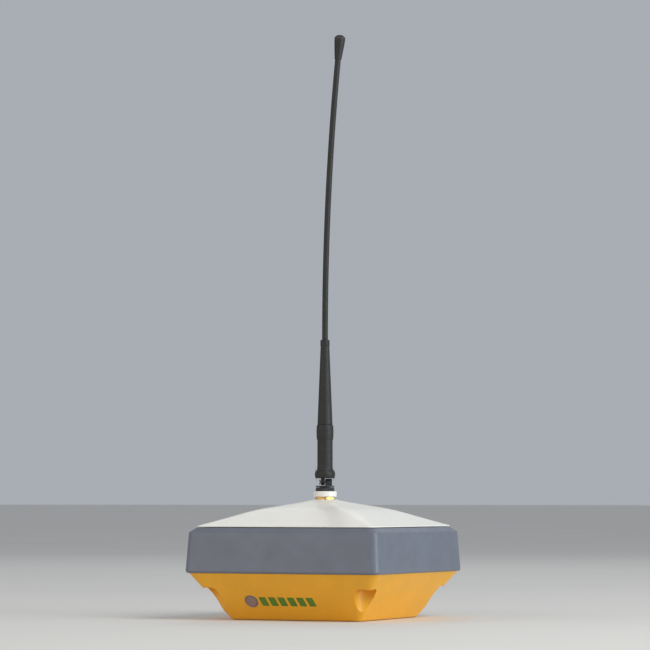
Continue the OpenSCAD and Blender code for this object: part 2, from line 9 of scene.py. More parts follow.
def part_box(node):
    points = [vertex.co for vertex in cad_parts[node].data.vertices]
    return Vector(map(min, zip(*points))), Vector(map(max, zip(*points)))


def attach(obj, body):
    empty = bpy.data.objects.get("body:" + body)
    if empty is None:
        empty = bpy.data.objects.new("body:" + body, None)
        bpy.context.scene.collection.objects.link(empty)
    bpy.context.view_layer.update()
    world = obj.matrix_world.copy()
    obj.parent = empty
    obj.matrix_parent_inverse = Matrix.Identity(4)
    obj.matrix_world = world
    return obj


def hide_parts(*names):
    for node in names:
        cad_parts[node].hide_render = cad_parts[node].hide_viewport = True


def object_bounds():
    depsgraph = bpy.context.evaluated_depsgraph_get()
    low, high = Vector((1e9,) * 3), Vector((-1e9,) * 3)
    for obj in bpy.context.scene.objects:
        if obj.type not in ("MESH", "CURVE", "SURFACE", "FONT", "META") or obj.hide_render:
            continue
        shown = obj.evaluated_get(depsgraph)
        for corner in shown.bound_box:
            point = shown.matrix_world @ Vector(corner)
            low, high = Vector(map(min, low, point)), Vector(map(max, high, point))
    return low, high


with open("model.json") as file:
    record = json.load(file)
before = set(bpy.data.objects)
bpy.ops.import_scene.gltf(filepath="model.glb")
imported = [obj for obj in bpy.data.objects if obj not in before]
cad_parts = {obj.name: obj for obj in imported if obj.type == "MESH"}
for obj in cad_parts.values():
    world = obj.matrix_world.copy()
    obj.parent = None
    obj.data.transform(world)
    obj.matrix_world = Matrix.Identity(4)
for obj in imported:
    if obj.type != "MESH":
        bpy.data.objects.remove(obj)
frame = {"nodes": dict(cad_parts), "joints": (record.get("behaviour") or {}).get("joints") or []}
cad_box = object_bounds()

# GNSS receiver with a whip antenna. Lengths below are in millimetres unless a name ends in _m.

MM = 0.001
TINY = 1e-6
FRONT, REAR, LEFT = 0, 180, -90

joints = {joint["name"]: joint for joint in frame["joints"]}


def span(node):
    """Lowest and highest corner of a CAD node, in millimetres."""
    low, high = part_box(node)
    return low / MM, high / MM


def pivot(joint):
    """Where a joint's axis passes, in millimetres."""
    return Vector(joints[joint]["pos_m"]) / MM


# ---- Sizes, from the frame ----

housing_high = span("lower_housing")[1]
band_low, band_high = span("bumper_band")

wall = 2.8
corner_r = 5
low_half = housing_high.x
low_top = housing_high.z
band_half = band_high.x
band_top = band_high.z
band_inner = band_half - 6.4
ledge_inner = band_inner - 3.2
band_top_half = band_half - 5.85
roof_half = band_half - 5.9
neck_top = span("radome")[1].z

press = Vector(joints["power_button_press"]["axis"])
face_tilt = math.atan2(press.z, press.y)
base_half = low_half - low_top * math.tan(face_tilt)
wall_side = wall / math.cos(face_tilt)

elbow = joints["antenna_elbow"]["axis"]
antenna_turn = math.atan2(-elbow[1], -elbow[0])
antenna_frame = Matrix.Rotation(antenna_turn, 4, "Z")


# ---- Mesh tools ----

def rounded(corners, closed=False, steps=5):
    """A flat path through corners, each (x, y) or (x, y, cut), with every cut corner rounded off."""
    path = []
    for i, corner in enumerate(corners):
        point = Vector(corner[:2])
        ends_here = not closed and i in (0, len(corners) - 1)
        if len(corner) == 2 or ends_here:
            path.append(point)
            continue
        start = point + (Vector(corners[i - 1][:2]) - point).normalized() * corner[2]
        end = point + (Vector(corners[(i + 1) % len(corners)][:2]) - point).normalized() * corner[2]
        for k in range(steps + 1):
            s = k / steps
            path.append(start * (1 - s) ** 2 + point * 2 * s * (1 - s) + end * s * s)
    return path


def flowing(rows, steps):
    """A smooth path through rows of numbers, with this many steps between two rows."""
    path = []
    for i in range(len(rows) - 1):
        a, b, c, d = (rows[max(0, min(len(rows) - 1, i + k))] for k in (-1, 0, 1, 2))
        for k in range(steps):
            s = k / steps
            path.append([
                0.5 * (2 * q + (r - p) * s + (2 * p - 5 * q + 4 * r - t) * s * s
                       + (3 * q - p - 3 * r + t) * s ** 3)
                for p, q, r, t in zip(a, b, c, d)
            ])
    path.append(list(rows[-1]))
    return path


def skin(rings, around=False):
    """A closed mesh through rings of points, where a ring of one point is a pole. around joins the last
    ring to the first."""
    bm = bmesh.new()
    made = [[bm.verts.new(point) for point in ring] for ring in rings]
    if around:
        made.append(made[0])
    for a, b in zip(made, made[1:]):
        count = max(len(a), len(b))
        for k in range(count):
            n = (k + 1) % count
            if len(a) == 1:
                bm.faces.new((a[0], b[n], b[k]))
            elif len(b) == 1:
                bm.faces.new((a[k], a[n], b[0]))
            else:
                bm.faces.new((a[k], a[n], b[n], b[k]))
    if not around:
        for end in (made[0], made[-1]):
            if len(end) > 1:
                bm.faces.new(end)
    bmesh.ops.recalc_face_normals(bm, faces=bm.faces)
    return bm


def lathe(profile, segments=64, ripple=None):
    """A turned shape from (radius, height) points. ripple is (ridges, depth, from height, to height)."""
    rings = []
    for r, z in profile:
        if r < TINY:
            rings.append([Vector((0, 0, z))])
            continue
        ring = []
        for k in range(segments):
            a = 2 * math.pi * k / segments
            depth = 0
            if ripple and ripple[2] <= z <= ripple[3]:
                depth = ripple[1] * (0.5 - 0.5 * math.cos(ripple[0] * a))
            ring.append(Vector(((r - depth) * math.cos(a), (r - depth) * math.sin(a), z)))
        rings.append(ring)
    return skin(rings, around=profile[0][0] > TINY)


def evenly(count):
    """Angles round a full turn."""
    return [2 * math.pi * k / count for k in range(count)]


def circle(r, z, count=96):
    """One level round the upright axis."""
    return [Vector((r * math.cos(a), r * math.sin(a), z)) for a in evenly(count)]


def prism(outline, low, high):
    """An upright shape with the same outline from low to high."""
    return skin([[Vector((x, y, z)) for x, y in outline] for z in (low, high)])


def rod(r, low, high, segments=48):
    """An upright cylinder."""
    return lathe([(0, low), (r, low), (r, high), (0, high)], segments)


def square_ring(half, radius, z, roundness=0.0, sides=12, corner_steps=8):
    """One level of the body: a square with round corners, and a circle when roundness is 1."""
    straight = half - radius
    quarter = []
    for k in range(corner_steps + 1):
        s = k / corner_steps
        turn = s * math.pi / 2
        square = Vector((straight + radius * math.cos(turn), straight + radius * math.sin(turn)))
        angle = math.pi / 8 + s * math.pi / 4
        quarter.append(square.lerp(half * Vector((math.cos(angle), math.sin(angle))), roundness))
    for k in range(1, sides):
        s = k / sides
        angle = math.pi * 3 / 8 + s * math.pi / 4
        square = Vector((straight * (1 - 2 * s), half))
        quarter.append(square.lerp(half * Vector((math.cos(angle), math.sin(angle))), roundness))
    turns = [Matrix.Rotation(i * math.pi / 2, 2) for i in range(4)]
    return [(turn @ point).to_3d() + Vector((0, 0, z)) for turn in turns for point in quarter]


def rectangle(wide, long, radius=0.0, middle=(0, 0)):
    """Outline of a rectangle, with round corners if radius is given."""
    x, y = middle
    corners = [(x + sx * wide / 2, y + sy * long / 2) for sx, sy in ((1, -1), (1, 1), (-1, 1), (-1, -1))]
    return rounded([(*corner, radius) for corner in corners], closed=True) if radius else corners


def joined(*parts):
    """Several meshes as one."""
    whole = bmesh.new()
    scratch = bpy.data.meshes.new("scratch")
    for part in parts:
        part.to_mesh(scratch)
        part.free()
        whole.from_mesh(scratch)
    bpy.data.meshes.remove(scratch)
    return whole


def placed(part, matrix):
    """The same mesh, moved."""
    bmesh.ops.transform(part, matrix=matrix, verts=part.verts)
    return part


def at_corners(at, make):
    """Four meshes from make(), one over each corner of a square of this half width."""
    return [placed(make(), Matrix.Translation((sx * at, sy * at, 0))) for sx in (-1, 1) for sy in (-1, 1)]


def boolean(base, tool, operation):
    """The exact union or difference of two meshes."""
    made = []
    for part in (base, tool):
        mesh = bpy.data.meshes.new("scratch")
        part.to_mesh(mesh)
        part.free()
        made.append(bpy.data.objects.new("scratch", mesh))
        bpy.context.scene.collection.objects.link(made[-1])
    cut = made[0].modifiers.new("cut", "BOOLEAN")
    cut.operation, cut.solver, cut.object, cut.use_self = operation, "EXACT", made[1], True
    solid = made[0].evaluated_get(bpy.context.evaluated_depsgraph_get())
    result = bmesh.new()
    result.from_mesh(solid.to_mesh())
    solid.to_mesh_clear()
    for scratch in made:
        mesh = scratch.data
        bpy.data.objects.remove(scratch)
        bpy.data.meshes.remove(mesh)
    bmesh.ops.remove_doubles(result, verts=result.verts, dist=0.002)
    return result


def eased(part, width, steps=2, sharper_than=35):
    """The same mesh with its sharp edges rounded off."""
    bmesh.ops.dissolve_limit(part, angle_limit=math.radians(0.5), verts=part.verts, edges=part.edges)
    sharp = [e for e in part.edges
             if len(e.link_faces) == 2 and e.calc_face_angle() > math.radians(sharper_than)]
    bmesh.ops.bevel(part, geom=sharp, offset=width, segments=steps, profile=0.5, affect="EDGES")
    return part


def face(turn, along=0.0, up=0.0):
    """The frame of a sloping face of the lower housing: X along it, Y up it, Z out of it."""
    foot = Vector((along, -(base_half + up * math.sin(face_tilt)), up * math.cos(face_tilt)))
    return (Matrix.Rotation(math.radians(turn), 4, "Z") @ Matrix.Translation(foot)
            @ Matrix.Rotation(math.pi / 2 + face_tilt, 4, "X"))


def centre_on_face(node, turn):
    """Where a CAD node's centre lies in the frame of a sloping face."""
    low, high = span(node)
    return face(turn).inverted() @ ((low + high) / 2)


# ---- Sizes of what is fitted to the body ----

screw_at = base_half + 10
head_seat, head_well_r = 27.6, 3.5
niche_at = base_half + 8.5
niche_r, niche_top = 7.5, 23
niche_wall, boss_r = 2, 8
flange_r, flange_t, insert_r, insert_end = 17.5, 2.4, 12, 11
label_w, label_l, label_y = 44, 16, -33
plate_w, plate_l, pad_t = 63.6, 23.6, 3
port_x, port_r = 16, 6
port_at = centre_on_face("port_nuts", REAR)
door_w, door_l, door_up = 40, 21, 17
bay_w, bay_l = 34, 14
window_w, window_h, lean = 5, 7.2, 0.9
button_at = centre_on_face("power_button", FRONT)
button_r = 4.25
row_up = button_at.y
lamp_count = 6
chip_w = 3.2
lamps_low, lamps_high = span("led_chips")
lamp_x = lamps_low.x + chip_w / 2
lamp_pitch = (lamps_high.x - lamps_low.x - chip_w) / (lamp_count - 1)

pivot_z = pivot("antenna_elbow").z
jack_top = span("antenna_jack")[1].z
deck_low, deck_top = pivot_z - 3.5, pivot_z - 2.6
ear_r = 2.3
ring_z, ring_h, ring_r, barrel_r = pivot_z + 2.6, 6.3, 7.3, 5.5
rod_r, rod_bend, rod_len = 2.1, 9.5, 204
tip_len, tip_r = 18, 3.9


# ---- Finishes ----

def wire(tree, source, target):
    """Links two sockets of a material."""
    tree.links.new(source, target)


def finish(name, colour, roughness, patch=14, shade=0.05, gloss_shift=0.05, grain=0.5, relief=0.01,
           edge_wear_and_highlight=None, edge_wear_and_highlight_width=0.5, streak=(1, 1, 1), metal=0.0, coat=0.0, specular=0.5):
    """A procedural finish in the piece's own coordinates: colour that varies in patches, uneven gloss, a fine
    bumped grain, and paler edges that are partly rub wear and partly a painted highlight along the edges.
    colour and the edge colour are linear."""
    material = bpy.data.materials.new(name)
    material.use_nodes = True
    tree = material.node_tree
    shader = tree.nodes["Principled BSDF"]
    shader.inputs["Metallic"].default_value = metal
    shader.inputs["Coat Weight"].default_value = coat
    shader.inputs["Coat Roughness"].default_value = 0.12
    shader.inputs["Specular IOR Level"].default_value = specular

    place = tree.nodes.new("ShaderNodeTexCoord")
    mapping = tree.nodes.new("ShaderNodeMapping")
    mapping.inputs["Scale"].default_value = streak
    wire(tree, place.outputs["Object"], mapping.inputs["Vector"])

    def noise(size, detail, straight=False):
        node = tree.nodes.new("ShaderNodeTexNoise")
        node.inputs["Scale"].default_value = 1 / (size * MM)
        node.inputs["Detail"].default_value = detail
        wire(tree, place.outputs["Object"] if straight else mapping.outputs["Vector"], node.inputs["Vector"])
        return node.outputs["Fac"]

    def spread(value, low, high, to_low, to_high):
        node = tree.nodes.new("ShaderNodeMapRange")
        limits = {"From Min": low, "From Max": high, "To Min": to_low, "To Max": to_high}
        for socket, number in limits.items():
            node.inputs[socket].default_value = number
        wire(tree, value, node.inputs["Value"])
        return node.outputs["Result"]

    def mix(share, a, b):
        node = tree.nodes.new("ShaderNodeMix")
        node.data_type = "RGBA"
        wire(tree, share, node.inputs["Factor"])
        for socket, value in (("A", a), ("B", b)):
            target = next(i for i in node.inputs if i.name == socket and i.type == "RGBA")
            if isinstance(value, bpy.types.NodeSocket):
                wire(tree, value, target)
            else:
                target.default_value = (*value, 1)
        return next(o for o in node.outputs if o.type == "RGBA")

    darker = [c * (1 - shade) for c in colour]
    lighter = [min(1, c * (1 + shade)) for c in colour]
    painted = mix(spread(noise(patch, 4), 0.3, 0.7, 0, 1), darker, lighter)
    handled = spread(noise(patch * 0.35, 5, straight=True), 0.3, 0.7,
                     roughness - gloss_shift, roughness + gloss_shift)
    if edge_wear_and_highlight:
        # Paler colour along sharp edges, found with a Bevel node: partly rub wear, partly a painted highlight
        # standing in for light catching the edges.
        soft = tree.nodes.new("ShaderNodeBevel")
        soft.samples = 6
        soft.inputs["Radius"].default_value = edge_wear_and_highlight_width * MM
        bare = tree.nodes.new("ShaderNodeNewGeometry")
        compare = tree.nodes.new("ShaderNodeVectorMath")
        compare.operation = "DOT_PRODUCT"
        wire(tree, soft.outputs["Normal"], compare.inputs[0])
        wire(tree, bare.outputs["Normal"], compare.inputs[1])
        worn_and_highlit_edges = tree.nodes.new("ShaderNodeMath")
        worn_and_highlit_edges.operation = "MULTIPLY"
        wire(tree, spread(compare.outputs["Value"], 0.995, 0.93, 0, 1), worn_and_highlit_edges.inputs[0])
        wire(tree, spread(noise(patch * 0.5, 4, straight=True), 0.35, 0.7, 0.15, 0.9), worn_and_highlit_edges.inputs[1])
        painted = mix(worn_and_highlit_edges.outputs["Value"], painted, edge_wear_and_highlight)
    wire(tree, painted, shader.inputs["Base Color"])
    wire(tree, handled, shader.inputs["Roughness"])

    bump = tree.nodes.new("ShaderNodeBump")
    bump.inputs["Distance"].default_value = relief * MM
    bump.inputs["Strength"].default_value = 1
    wire(tree, noise(grain, 3), bump.inputs["Height"])
    wire(tree, bump.outputs["Normal"], shader.inputs["Normal"])
    return material


def colour(red, green, blue):
    """A linear colour from the usual 0 to 255 values."""
    return [((v / 255 + 0.055) / 1.055) ** 2.4 if v > 10 else v / 255 / 12.92 for v in (red, green, blue)]


# The wear colour of each finish paints its paler edges: partly rub wear, partly a painted highlight.
finishes = {
    "radome_white": finish(
        "radome white", colour(236, 232, 221), 0.4, patch=22, shade=0.018, gloss_shift=0.05, grain=0.9,
        relief=0.006, coat=0.15, edge_wear_and_highlight=colour(244, 241, 232)),
    "band_grey": finish(
        "band grey", colour(106, 110, 121), 0.42, patch=16, shade=0.06, gloss_shift=0.06, grain=0.45,
        relief=0.02, edge_wear_and_highlight=colour(142, 147, 156)),
    "housing_amber": finish(
        "housing amber", colour(240, 172, 36), 0.4, patch=18, shade=0.04, gloss_shift=0.06, grain=0.5,
        relief=0.016, edge_wear_and_highlight=colour(243, 190, 80)),
    "black_plastic": finish(
        "black plastic", colour(38, 38, 40), 0.5, patch=8, shade=0.12, grain=0.35, relief=0.015,
        edge_wear_and_highlight=colour(74, 74, 76), edge_wear_and_highlight_width=0.3),
    "black_rubber": finish(
        "black rubber", colour(34, 34, 34), 0.72, patch=6, shade=0.18, gloss_shift=0.08, grain=0.3,
        relief=0.02, specular=0.35),
    "grey_button": finish(
        "grey button", colour(146, 122, 116), 0.6, patch=3, shade=0.1, grain=0.25, relief=0.012,
        edge_wear_and_highlight=colour(170, 158, 160), edge_wear_and_highlight_width=0.3),
    "steel": finish(
        "steel", colour(190, 190, 186), 0.34, patch=5, shade=0.08, gloss_shift=0.08, grain=0.25, relief=0.004,
        metal=1, streak=(1, 1, 6)),
    "aluminium": finish(
        "aluminium", colour(200, 202, 204), 0.38, patch=9, shade=0.06, grain=0.3, relief=0.006, metal=1,
        streak=(6, 1, 1)),
    "brass": finish(
        "brass", colour(205, 160, 92), 0.3, patch=4, shade=0.12, gloss_shift=0.09, grain=0.3, relief=0.006,
        metal=1, streak=(1, 1, 9)),
    "board_green": finish(
        "board green", colour(22, 92, 46), 0.35, patch=5, shade=0.25, grain=1.2, relief=0.02),
    "laminate_tan": finish(
        "laminate tan", colour(190, 158, 108), 0.45, patch=7, shade=0.12, grain=0.6, relief=0.01),
    "ceramic_ivory": finish(
        "ceramic ivory", colour(228, 218, 192), 0.55, patch=10, shade=0.05, grain=0.4, relief=0.008),
    "cell_wrap": finish(
        "cell wrap", colour(44, 92, 150), 0.35, patch=12, shade=0.08, grain=1.5, relief=0.01),
    "cable_brown": finish(
        "cable brown", colour(112, 68, 34), 0.45, patch=4, shade=0.12, grain=0.4, relief=0.01,
        streak=(1, 1, 0.3)),
    "whip_rubber": finish(
        "whip rubber", colour(38, 37, 34), 0.55, patch=7, shade=0.14, gloss_shift=0.08, grain=0.35,
        relief=0.012, edge_wear_and_highlight=colour(72, 68, 60), edge_wear_and_highlight_width=0.3, specular=0.4),
    "label_silver": finish(
        "label silver", colour(198, 198, 196), 0.36, patch=6, shade=0.05, grain=0.3, relief=0.003,
        metal=0.7, streak=(10, 1, 1)),
    "lamp_cream": finish(
        "lamp cream", colour(240, 234, 200), 0.3, patch=2, shade=0.06, grain=0.4, relief=0.004),
}


def lit_lens(name, tint, glow, strength):
    """Smoked green lens with a faint, even glow of its own."""
    material = finish(name, tint, 0.2, patch=1.6, shade=0.2, gloss_shift=0.06, grain=0.5, relief=0.004,
                      coat=0.4)
    tree = material.node_tree
    shader = tree.nodes["Principled BSDF"]
    shader.inputs["Emission Color"].default_value = (*glow, 1)
    shader.inputs["Emission Strength"].default_value = strength
    return material


finishes["indicator_green"] = lit_lens("indicator green", colour(62, 104, 10), colour(110, 160, 10), 0.1)


# ---- Adding pieces ----

def add(name, part, body, slot, replaces=(), place=None):
    """Turns a mesh in millimetres into a piece that rides on a body and stands for CAD nodes."""
    if place:
        bmesh.ops.transform(part, matrix=place, verts=part.verts)
    bmesh.ops.scale(part, vec=(MM, MM, MM), verts=part.verts)
    bmesh.ops.recalc_face_normals(part, faces=part.faces)
    mesh = bpy.data.meshes.new(name)
    part.to_mesh(mesh)
    part.free()
    mesh.shade_smooth()
    mesh.set_sharp_from_angle(angle=math.radians(38))
    mesh.materials.append(finishes[slot])
    piece = bpy.data.objects.new(name, mesh)
    bpy.context.scene.collection.objects.link(piece)
    normals = piece.modifiers.new("normals", "WEIGHTED_NORMAL")
    normals.keep_sharp = True
    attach(piece, body)
    if replaces:
        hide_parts(*replaces)
    return piece


# ---- Casings ----

def roof_cover():
    """Low pyramid with soft ridges, which flows into the round neck."""
    lip = rounded([(roof_half - 1.6, band_top + 0.3), (roof_half, band_top + 0.3, 0.25),
                   (roof_half, band_top + 0.95, 0.4), (roof_half - 3.2, band_top + 2.05)])
    rows = [
        (roof_half - 3.2, band_top + 2.05, 0, corner_r),
        (56, band_top + 5.8, 0.01, corner_r + 1),
        (40, band_top + 11.9, 0.03, corner_r + 3),
        (28, band_top + 15.0, 0.12, corner_r + 5),
        (19, band_top + 17.1, 0.4, corner_r + 6),
        (13, band_top + 18.45, 0.85, corner_r + 4),
        (10.2, neck_top - 0.5, 1, corner_r),
        (9, neck_top - 0.16, 1, corner_r),
    ]
    top = rounded([(9, neck_top - 0.16), (8.6, neck_top, 0.25), (5.15, neck_top)])
    rings = [square_ring(half, corner_r, z) for half, z in lip]
    rings += [square_ring(half, radius, z, share) for half, z, share, radius in flowing(rows, 4)[1:]]
    rings += [square_ring(half, half / 2, z, 1) for half, z in top[1:]]
    inside = [
        (5.15, neck_top - 2.6, 1, 2), (12, band_top + 15.4, 1, 4), (26, band_top + 12.1, 0.2, 8),
        (38, band_top + 9, 0.05, 7), (roof_half - 3, band_top + 0.3, 0, corner_r - 2),
    ]
    rings += [square_ring(half, radius, z, share) for half, z, share, radius in flowing(inside, 3)]
    add("roof_cover", skin(rings, around=True), "receiver", "radome_white", ["radome"])


def side_band():
    """Deep grey band round the middle: it leans in a little and ends in a wide bevel at the top."""
    profile = rounded([
        (band_inner, band_low.z), (band_half - 0.9, band_low.z, 0.3), (band_half, band_low.z + 1.0, 0.7),
        (band_half - 1.72, band_top - 3.5, 0.45), (band_top_half, band_top - 0.1, 0.4),
        (ledge_inner, band_top - 0.1), (ledge_inner, band_top - 4), (band_inner, band_top - 4),
    ])
    rings = [square_ring(half, corner_r if half > band_top_half - 0.5 else corner_r - 2, z)
             for half, z in profile]
    add("side_band", skin(rings, around=True), "receiver", "band_grey", ["bumper_band"])


def side_half(z):
    """Half width of the lower housing at a height, before its edges are eased."""
    return base_half + (low_half - base_half) * z / low_top


def lower_shell():
    """Tapered amber housing with an arched niche in each corner and openings for everything fitted to it."""
    outside = rounded([
        (base_half - 3, 0), (base_half, 0, 1.3), (low_half, low_top, 0.35), (low_half - 3, low_top)
    ])
    rings = [square_ring(half, corner_r - (side_half(z) - half), z, sides=1, corner_steps=10)
             for half, z in outside]
    shell = skin(rings)
    hollow = skin([
        square_ring(side_half(wall) - wall_side, corner_r - 2, wall, sides=1),
        square_ring(side_half(low_top + 1) - wall_side, corner_r - 2, low_top + 1, sides=1),
    ])
    solid_parts = at_corners(screw_at, lambda: rod(boss_r, -1, low_top + 2))
    solid_parts += at_corners(niche_at, lambda: rod(niche_r + niche_wall, -1, niche_top + niche_wall))
    solid_parts += [
        rod(flange_r + 0.9, 0, 9),
        placed(prism(rectangle(plate_w + 6, plate_l + 2), -wall - pad_t, 0.5), face(REAR, 0, port_at.y)),
        placed(prism(rectangle(door_w + 8, door_l + 4), -wall - pad_t, 0.5), face(LEFT, 0, door_up)),
    ]
    hollow = boolean(hollow, joined(*solid_parts), "DIFFERENCE")
    niche = rounded([(0, -1), (niche_r, -1), (niche_r, niche_top, 1.2), (0, niche_top)])
    cuts = [joined(*at_corners(niche_at, lambda: lathe(niche, 72)))]
    cuts += at_corners(screw_at, lambda: rod(head_well_r, niche_top - 3, head_seat, 32))
    cuts += [
        lathe([(0, -1), (flange_r + 0.1, -1), (flange_r + 0.1, flange_t), (insert_r + 0.1, flange_t),
               (insert_r + 0.1, insert_end), (0, insert_end)], 96),
        prism(rectangle(label_w + 0.2, label_l + 0.2, 0.8, (0, label_y)), -1, 0.4),
        placed(rod(button_r + 0.75, -5, 3, 64), face(FRONT, button_at.x, row_up)),
        placed(prism(rectangle(plate_w + 0.4, plate_l + 0.4, 0.6), -2.05, 3), face(REAR, 0, port_at.y)),
        placed(prism(rectangle(door_w + 0.6, door_l + 0.9, 0.6, (0, -0.55)), -2.25, 3),
               face(LEFT, 0, door_up)),
        placed(prism(rectangle(12, 3.4, 1.4, (0, -door_l / 2 - 1)), -1.4, 3), face(LEFT, 0, door_up)),
        placed(prism(rectangle(bay_w, bay_l, 1), -9, 1), face(LEFT, 0, door_up)),
    ]
    for i in range(lamp_count):
        cuts.append(placed(prism(window(0.1), -5, 3), face(FRONT, lamp_x + i * lamp_pitch, row_up)))
    for side in (-1, 1):
        cuts.append(placed(rod(port_r + 0.1, -9, 3), face(REAR, side * port_x, port_at.y)))
    shell = boolean(shell, hollow, "DIFFERENCE")
    shell = boolean(shell, joined(*cuts), "DIFFERENCE")
    add("lower_shell", eased(shell, 0.22), "receiver", "housing_amber", ["lower_housing"])


def window(grow):
    """Outline of one status window: a leaning slot with round corners."""
    w, h = window_w / 2 + grow, window_h / 2 + grow
    corners = [(-w + lean, -h), (w + lean, -h), (w - lean, h), (-w - lean, h)]
    return rounded([(*corner, 0.7) for corner in corners], closed=True, steps=4)


roof_cover()
side_band()
lower_shell()


# ---- Front indicators ----

def front_button():
    """Power button with a dished face and a flange behind it, and the raised rim round it."""
    cap_r, flange, rim_r = button_r - 0.1, button_r + 0.5, button_r + 0.65
    cap = rounded([(0, 0.2), (2.6, 0.28, 0.5), (3.3, 0.5, 0.3), (4.1, 0.5, 0.4), (cap_r, 0.1, 0.2),
                   (cap_r, -3.2), (flange, -3.2), (flange, -4), (0, -4)])
    add("button_cap", lathe(cap, 72), "power_button", "grey_button", ["power_button"],
        face(FRONT, button_at.x, row_up))
    rim = rounded([(button_r, -2.8), (rim_r, -2.8), (rim_r, 0.3, 0.22), (button_r, 0.3, 0.22),
                   (button_r, -2.4)])
    add("button_rim", lathe(rim, 72), "receiver", "band_grey", ["button_bezel"],
        face(FRONT, button_at.x, row_up))


def status_windows():
    """Six lenses with slightly crowned faces, on one bar behind the housing's wall."""
    lenses = []
    outline = window(0)
    bar_w, bar_back, bar_front = 9.2, -4.4, -2.9
    levels = [(1, bar_front), (1, 0.02), (0.94, 0.12), (0.8, 0.15)]
    for i in range(lamp_count):
        rings = [[Vector((x * share, y * share, z)) for x, y in outline] for share, z in levels]
        lenses.append(placed(skin(rings), Matrix.Translation((lamp_x + i * lamp_pitch, 0, 0))))
    bar_low, bar_high = span("light_guide")
    bar_outline = rectangle(bar_high.x - bar_low.x, bar_w, 1, ((bar_low.x + bar_high.x) / 2, 0))
    bar = prism(bar_outline, bar_back, bar_front)
    add("status_windows", joined(*lenses, bar), "receiver", "indicator_green", ["light_guide"],
        face(FRONT, 0, row_up))


front_button()
status_windows()


# ---- Neck and antenna ----

def hexagon_ring(r, z, cap_r, count=96):
    """One level of a hexagonal collar whose corners are turned down to cap_r."""
    ring = []
    for a in evenly(count):
        flat = r * math.cos(math.pi / 6) / math.cos((a % (math.pi / 3)) - math.pi / 6)
        ring.append(Vector((min(flat, cap_r) * math.cos(a), min(flat, cap_r) * math.sin(a), z)))
    return ring


def neck_fittings():
    """Brass collar of the antenna jack, and the white weather ring on it."""
    low = neck_top
    high = span("weather_ring")[0].z
    foot = span("antenna_jack")[0].z
    jack_r, bore_r, bore_end, cable_r = 4.98, 4, jack_top - 6.3, 2.5
    hex_r, hex_top, shoulder_r = 7.6, low + 1.5, 6.6
    hexagon = [(7.0, low), (7.35, low + 0.12), (hex_r, low + 0.35), (hex_r, low + 1.1), (7.3, low + 1.4),
               (6.9, hex_top)]
    levels = [circle(jack_r, z) for z in (foot, low)]
    levels += [hexagon_ring(hex_r, z, cap) for cap, z in hexagon]
    shoulder = rounded([(shoulder_r, hex_top), (shoulder_r, high, 0.15), (jack_r, high),
                        (jack_r, jack_top, 0.3), (bore_r, jack_top), (bore_r, bore_end),
                        (cable_r, bore_end), (cable_r, foot)])
    levels += [circle(r, z) for r, z in shoulder]
    add("jack_collar", skin(levels, around=True), "receiver", "brass", ["antenna_jack"])
    ring_low, ring_high = span("weather_ring")
    inner, outer, well, seat = 5.1, ring_high.x, 7, ring_low.z + 1.6
    ring = rounded([(inner, ring_low.z), (outer, ring_low.z, 0.5), (outer, ring_high.z, 0.6),
                    (well, ring_high.z, 0.3), (well, seat, 0.3), (inner, seat)])
    add("neck_ring", lathe(ring, 96), "receiver", "radome_white", ["weather_ring"])


def knurled_nut():
    """Coupling nut with a fine straight knurl between two plain rims."""
    low, high = span("coupling_nut")
    r = high.x
    thread, cavity, stem = 5.1, 5.8, 4.0
    ridges, ridge_depth = 36, 0.28
    grip = [(r - 0.5, low.z), (r - 0.1, low.z + 0.25), (r - 0.1, low.z + 0.8), (r - 0.35, low.z + 0.95)]
    grip += [(r - 0.35, low.z + 1.0), (r, low.z + 1.25), (r, high.z - 1.15), (r - 0.35, high.z - 0.9)]
    grip += [(r - 0.35, high.z - 0.85), (r - 0.15, high.z - 0.7), (r - 0.15, high.z - 0.2),
             (r - 0.45, high.z)]
    bore = [(stem, high.z), (stem, jack_top + 1.9), (cavity, jack_top + 1.9), (cavity, jack_top + 0.3),
            (thread, jack_top + 0.3), (thread, low.z)]
    turned = lathe(grip + bore, ridges * 6, ripple=(ridges, ridge_depth, low.z + 1.2, high.z - 1.1))
    add("knurled_nut", turned, "coupling_nut", "black_plastic", ["coupling_nut"])


def ear(low, high, foot_z):
    """Half of the elbow's lap joint: a plate with a round end at the pivot, between two places along X."""
    turns = [math.pi * k / 16 for k in range(17)]
    arc = [(ear_r * math.cos(a), pivot_z + ear_r * math.sin(a)) for a in turns]
    if foot_z > pivot_z:
        arc = [(y, 2 * pivot_z - z) for y, z in arc]
    outline = arc + [(-ear_r, foot_z), (ear_r, foot_z)]
    along_x = Matrix(((0, 0, 1, 0), (1, 0, 0, 0), (0, 1, 0, 0), (0, 0, 0, 1)))
    return placed(prism(outline, low, high), along_x)


def pin_hole():
    """Cutter for the elbow's pin, along the antenna's X at the pivot."""
    across = Matrix.Translation((0, 0, pivot_z)) @ Matrix.Rotation(math.pi / 2, 4, "Y")
    pin_r, reach = 1, 9
    return placed(rod(pin_r, -reach, reach, 32), across)


def elbow_knuckle():
    """Lower half of the elbow: a stem with a flange inside the nut, a deck over it, and an ear."""
    foot = span("lower_knuckle")[0].z
    plug_r, flange, stem_r, deck_r = 3.6, 5, 3.9, 6.6
    flange_low, flange_top = jack_top + 0.6, jack_top + 1.6
    stem = rounded([(0, foot), (plug_r, foot, 0.3), (plug_r, flange_low), (flange, flange_low),
                    (flange, flange_top), (stem_r, flange_top), (stem_r, deck_low), (deck_r, deck_low, 0.2),
                    (deck_r, deck_top, 0.3), (0, deck_top)])
    knuckle = boolean(lathe(stem, 64), ear(0.15, 5, deck_top - 0.4), "UNION")
    knuckle = boolean(knuckle, pin_hole(), "DIFFERENCE")
    add("elbow_knuckle", eased(knuckle, 0.18), "elbow_foot", "black_plastic", ["lower_knuckle"],
        antenna_frame)


